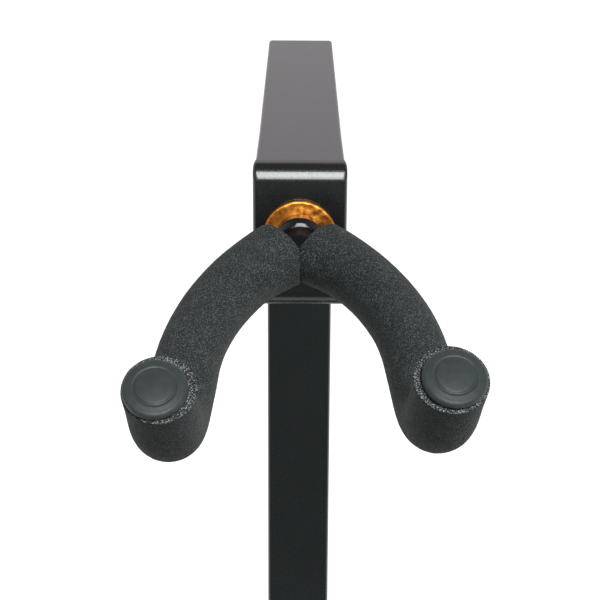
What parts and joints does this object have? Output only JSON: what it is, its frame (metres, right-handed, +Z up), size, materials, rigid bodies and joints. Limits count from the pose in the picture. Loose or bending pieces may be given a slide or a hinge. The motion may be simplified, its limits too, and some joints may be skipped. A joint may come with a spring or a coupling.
{
  "type": "hanging guitar stand",
  "caption": "Floor stand that hangs a guitar by its headstock: flat base on rubber feet, clamped telescoping mast, forward arm and a padded swivel yoke.",
  "frame": {"origin": "on the floor, under the middle of the base plate", "axes": "+Z up, the arm and yoke reach forward along -Y, the mast and clamp knob stand behind at +Y, X across"},
  "size_m": [0.32, 0.45, 1.11],
  "materials": {
    "powder_coat": "satin black powder coat",
    "black_steel": "glossy black",
    "bare_steel": "machined",
    "zinc_steel": "bright zinc plate",
    "gold_metal": "polished amber gold",
    "black_nylon": "fine moulded",
    "natural_nylon": "natural nylon",
    "rubber": "matt moulded",
    "foam": "fine-celled charcoal foam"
  },
  "bodies": {
    "base": {"base_plate": "powder_coat", "rubber_foot_front_left": "rubber", "rubber_foot_front_right": "rubber", "rubber_foot_rear_left": "rubber", "rubber_foot_rear_right": "rubber", "foot_screw_front_left": "zinc_steel", "foot_screw_front_right": "zinc_steel", "foot_screw_rear_left": "zinc_steel", "foot_screw_rear_right": "zinc_steel", "mast_screw_front": "zinc_steel", "mast_screw_rear": "zinc_steel", "foot_block": "bare_steel", "lower_mast_tube": "powder_coat", "mast_bush": "black_nylon", "clamp_boss": "powder_coat"},
    "mast": {"lower_glide": "natural_nylon", "post_tube": "powder_coat", "arm_tube": "powder_coat", "arm_end_cap": "powder_coat", "stem_boss": "bare_steel", "stem_bushing": "natural_nylon", "thrust_washer": "gold_metal"},
    "yoke": {"swivel_stem": "black_steel", "stem_collar": "black_steel", "back_washer": "zinc_steel", "spring_washer": "zinc_steel", "lock_nut": "zinc_steel", "yoke_rod": "black_steel", "left_foam_sleeve": "foam", "right_foam_sleeve": "foam", "left_tip_cap": "rubber", "right_tip_cap": "rubber"},
    "clamp_pusher": {"clamp_pad": "natural_nylon"},
    "clamp_grip": {"clamp_screw": "zinc_steel", "clamp_knob": "black_nylon"}
  },
  "joints": [
    {"name": "mast_height", "type": "slide", "parent": "base", "child": "mast", "axis": [0, 0, 1], "range_m": [-0.35, 0.095]},
    {"name": "yoke_swivel", "type": "hinge", "parent": "mast", "child": "yoke", "pos_m": [0, -0.068, 1.085], "axis": [0, 1, 0], "continuous": true},
    {"name": "clamp_travel", "type": "slide", "parent": "base", "child": "clamp_pusher", "axis": [0, 1, 0], "range_m": [0, 0.0025]},
    {"name": "knob_turn", "type": "hinge", "parent": "clamp_pusher", "child": "clamp_grip", "pos_m": [0, 0.173, 0.5306], "axis": [0, 1, 0], "range_deg": [0, 720]}
  ],
  "couplings": [
    {"joint": "clamp_travel", "follows": "knob_turn", "m_per_rad": 0.00019894}
  ]
}
